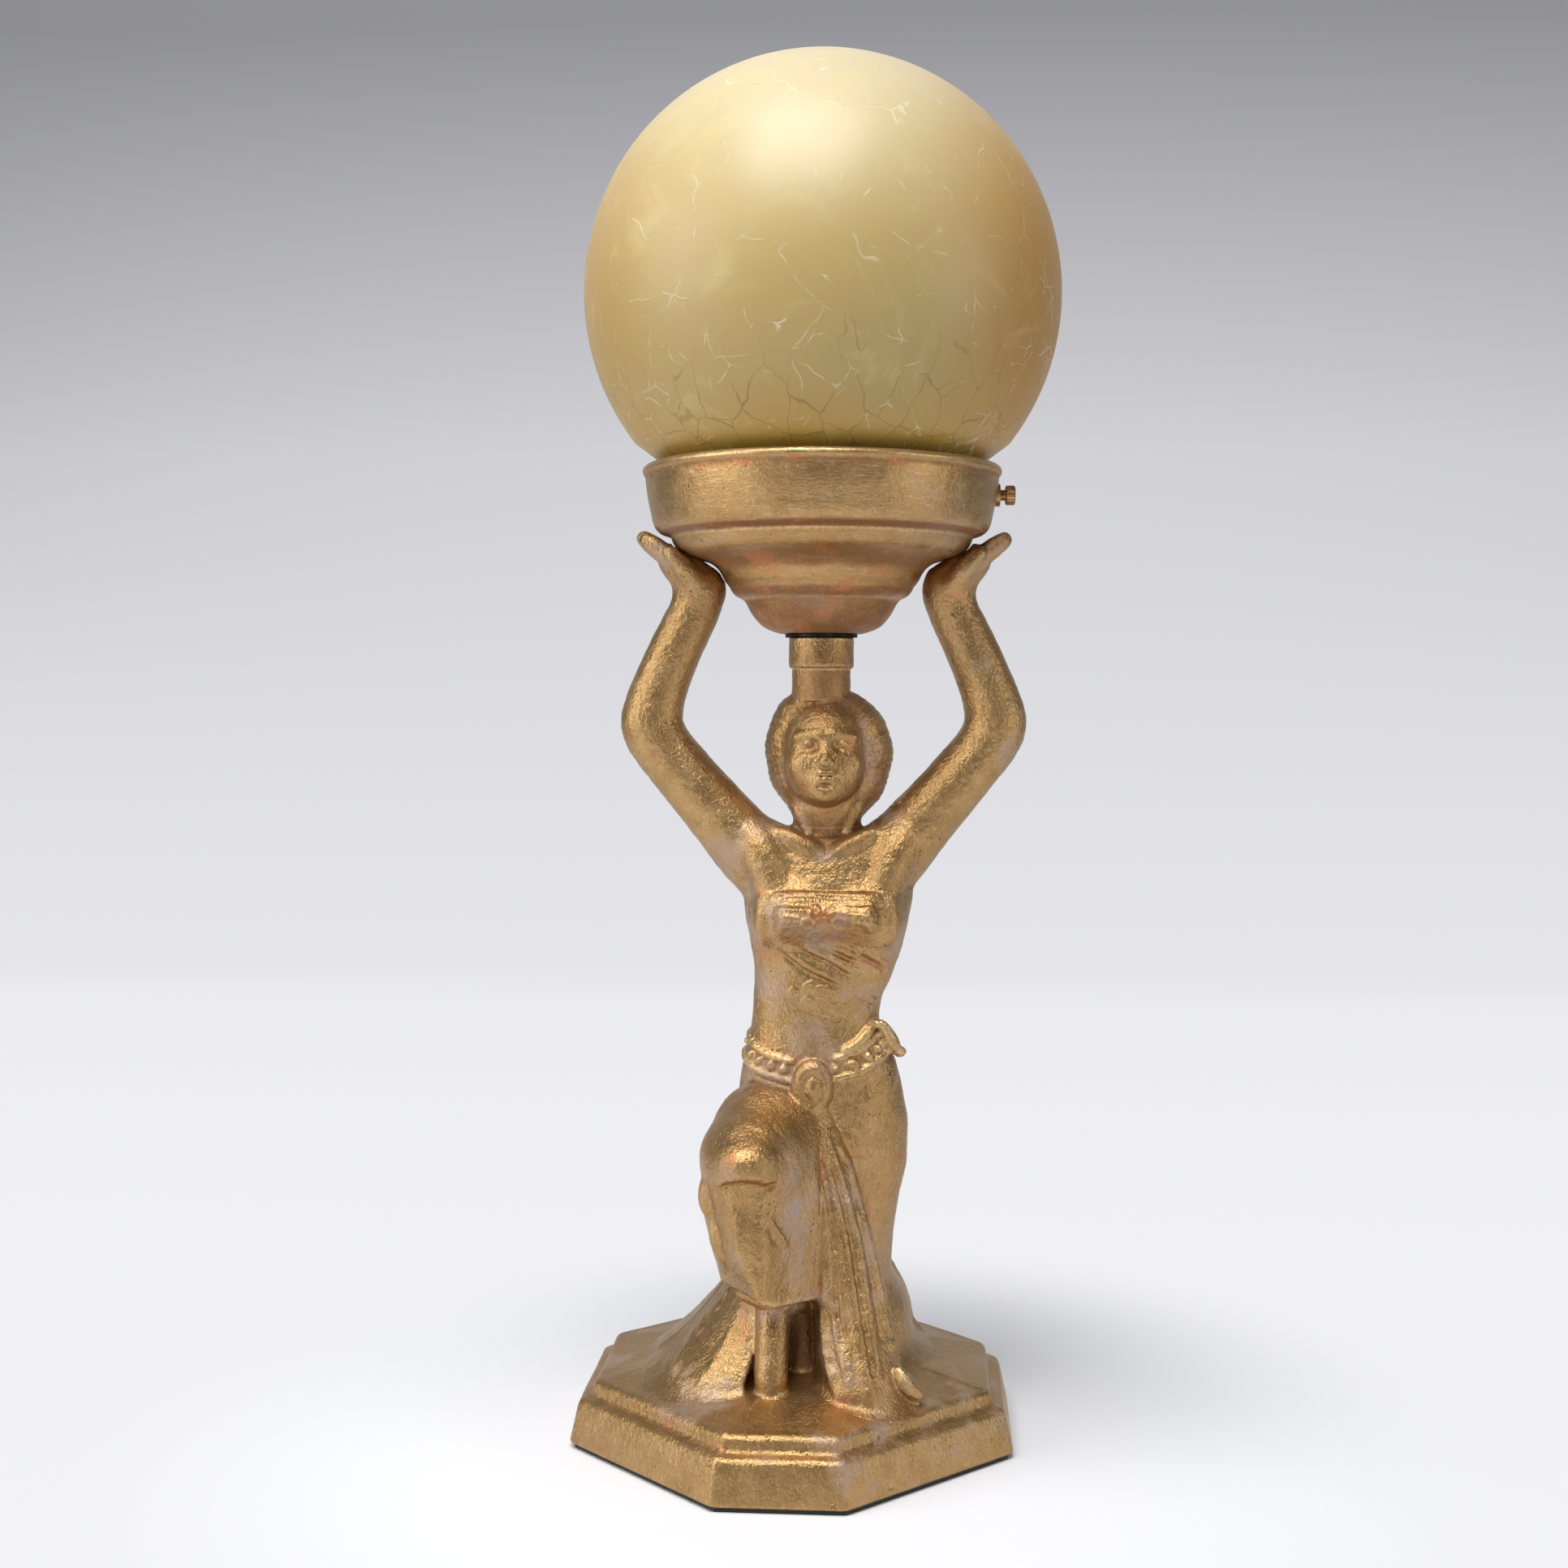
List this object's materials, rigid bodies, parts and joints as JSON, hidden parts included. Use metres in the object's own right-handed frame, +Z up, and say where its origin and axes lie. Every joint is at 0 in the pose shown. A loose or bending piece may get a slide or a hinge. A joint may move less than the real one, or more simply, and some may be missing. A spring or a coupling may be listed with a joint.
{
  "type": "figural table lamp",
  "caption": "Table lamp: a kneeling draped woman cast in metal on an octagonal plinth holds up a gallery with a round crackle glass shade.",
  "frame": {"origin": "on the resting plane under the felt, on the axis of the threaded tube that carries the gallery", "axes": "+Z up along the tube; the plinth's front flat faces -Y, and the figure faces -Y turned 3.4 degrees about +Z; +X is the viewer's right"},
  "size_m": [0.1523, 0.1614, 0.4386],
  "materials": {
    "gold_paint": "satin bronze-gold paint over cast and spun metal, worn",
    "screw_brass": "satin, gold paint worn to copper-coloured metal",
    "felt": "dark green felt",
    "black_bush": "black moulded insulating bush",
    "steel": "plain zinc-plated steel",
    "dark_washer": "dark oxidised",
    "crackle_glass": "satin crackle glass, cream to deep amber",
    "holder_brass": "lacquered",
    "ceramic": "white glazed insulator",
    "bulb_envelope_glass": "clear",
    "black_glass": "black vitrite",
    "solder": "dull solder"
  },
  "bodies": {
    "lamp_body": {"plinth": "gold_paint", "gallery": "gold_paint", "screw_boss": "gold_paint", "figure_head": "gold_paint", "figure_torso": "gold_paint", "figure_lower": "gold_paint", "left_upper_arm": "gold_paint", "left_forearm": "gold_paint", "right_upper_arm": "gold_paint", "right_forearm": "gold_paint", "gallery_pips": "screw_brass", "felt_pad": "felt", "cord_bush": "black_bush", "cord_bush_nut": "black_bush", "threaded_tube": "steel", "plinth_washer": "steel", "plinth_nut": "steel", "gallery_nut": "steel", "seat_washer": "dark_washer", "holder_cap": "holder_brass", "holder_shell": "holder_brass", "holder_screw_sleeve": "holder_brass", "holder_contact": "holder_brass", "holder_terminal_screws": "holder_brass", "holder_core": "ceramic"},
    "shade": {"globe_shade": "crackle_glass"},
    "screw": {"thumb_screw": "screw_brass"},
    "bulb": {"bulb_glass": "bulb_envelope_glass", "bulb_mount": "bulb_envelope_glass", "bulb_cap": "holder_brass", "bulb_insulator": "black_glass", "bulb_tip": "solder"}
  },
  "joints": [
    {"name": "shade_lift", "type": "slide", "parent": "lamp_body", "child": "shade", "axis": [0, 0, 1], "range_m": [0, 0.12]},
    {"name": "screw_travel", "type": "slide", "parent": "lamp_body", "child": "screw", "axis": [0.9982, 0.0593, 0], "range_m": [-0.0015, 0.004]},
    {"name": "bulb_turn", "type": "hinge", "parent": "lamp_body", "child": "bulb", "pos_m": [0, 0, 0.2855], "axis": [0, 0, 1], "continuous": true}
  ]
}
